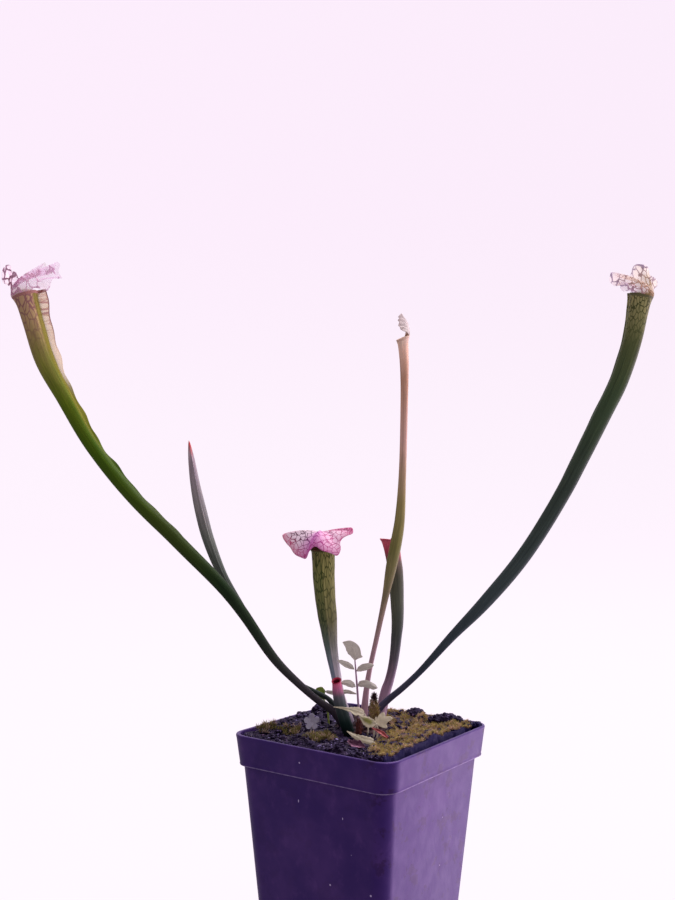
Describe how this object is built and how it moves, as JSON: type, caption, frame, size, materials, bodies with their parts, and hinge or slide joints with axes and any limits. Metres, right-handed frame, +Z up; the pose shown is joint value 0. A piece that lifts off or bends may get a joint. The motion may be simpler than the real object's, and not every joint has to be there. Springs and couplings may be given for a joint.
{
  "type": "potted pitcher plant",
  "caption": "Pitcher plant with slender arching trumpet pitchers and lacy ruffled hoods, growing with a seedling and moss in a small square tapered plastic nursery pot.",
  "frame": {"origin": "centre of the pot's base, on the surface that the pot stands on", "axes": "+Z up; X and Y along the sides of the square pot. The pitchers fan out at about 35 degrees from +X, towards +Y, and the fan's front looks towards -Y and +X"},
  "size_m": [0.1608, 0.0997, 0.1899],
  "materials": {
    "pot_plastic": "satin",
    "potting_mix": "matte",
    "rhizome": "matte",
    "pitcher_left": "satin",
    "pitcher_right": "satin",
    "pitcher_centre": "satin",
    "pitcher_tall": "satin",
    "pitcher_rear": "satin",
    "pitcher_front": "satin",
    "pitcher_bud": "satin",
    "seedling_stem": "matte",
    "seedling_leaf": "matte",
    "pale_leaf": "matte",
    "clover_leaf": "matte",
    "green_shoot": "matte",
    "dead_leaf": "matte",
    "old_stub": "matte",
    "moss": "matte",
    "bark": "matte"
  },
  "bodies": {
    "root": {"pot": "pot_plastic", "potting_mix": "potting_mix", "rhizome": "rhizome", "pitcher_left": "pitcher_left", "pitcher_right": "pitcher_right", "pitcher_centre": "pitcher_centre", "pitcher_tall": "pitcher_tall", "pitcher_rear": "pitcher_rear", "pitcher_front": "pitcher_front", "pitcher_bud": "pitcher_bud", "seedling_stem": "seedling_stem", "seedling_leaf_top": "seedling_leaf", "seedling_leaf_upper_left": "seedling_leaf", "seedling_leaf_upper_right": "seedling_leaf", "seedling_leaf_middle_left": "seedling_leaf", "seedling_leaf_middle_right": "seedling_leaf", "seedling_leaf_lower_left": "seedling_leaf", "toothed_leaf_left": "pale_leaf", "toothed_leaf_middle": "pale_leaf", "lobed_leaf": "pale_leaf", "serrated_leaf": "pale_leaf", "clover_leaf": "clover_leaf", "green_shoot": "green_shoot", "red_scrap": "dead_leaf", "pink_scrap": "dead_leaf", "old_stub": "old_stub", "moss_clump": "moss", "moss_tuft_left": "moss", "moss_tuft_inner": "moss", "moss_tuft_front": "moss", "moss_mat": "moss", "moss_front_right": "moss", "bark_back_left": "bark", "bark_back": "bark", "bark_back_right": "bark", "bark_right": "bark", "bark_left": "bark", "bark_front": "bark"}
  },
  "joints": []
}
